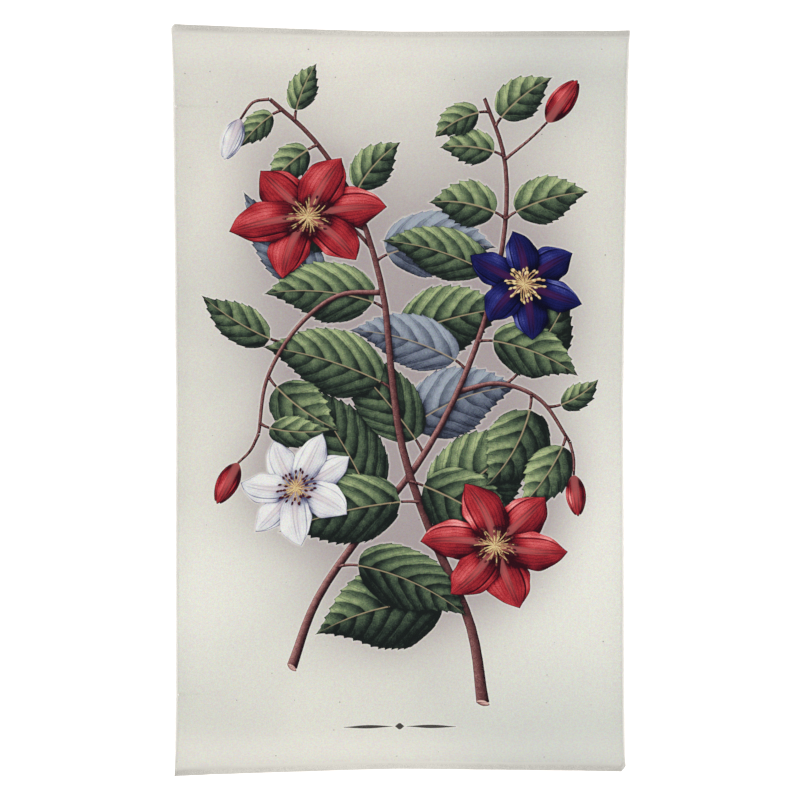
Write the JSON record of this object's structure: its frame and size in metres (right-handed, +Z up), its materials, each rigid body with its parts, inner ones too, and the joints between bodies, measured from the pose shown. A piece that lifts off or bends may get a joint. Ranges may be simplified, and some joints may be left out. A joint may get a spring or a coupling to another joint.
{
  "type": "decoupage glass tray",
  "caption": "Shallow rectangular glass tray with upswept short ends, a botanical print glued under the glass, and a felt pad below to stand on.",
  "frame": {"origin": "on the table under the middle of the tray's outline", "axes": "+Y along the tray to the top of its print, +X across it to the right of its print, +Z up out of the glass"},
  "size_m": [0.2198, 0.36, 0.0246],
  "materials": {
    "glass": "clear polished glass with matt ground edges",
    "print": "aged off-white paper, printed, under glass",
    "backing": "sealed brown paper",
    "felt": "dark green wool felt"
  },
  "bodies": {
    "root": {"glass_tray": "glass", "printed_sheet": "print", "backing_sheet": "backing", "felt_pad": "felt"}
  },
  "joints": []
}
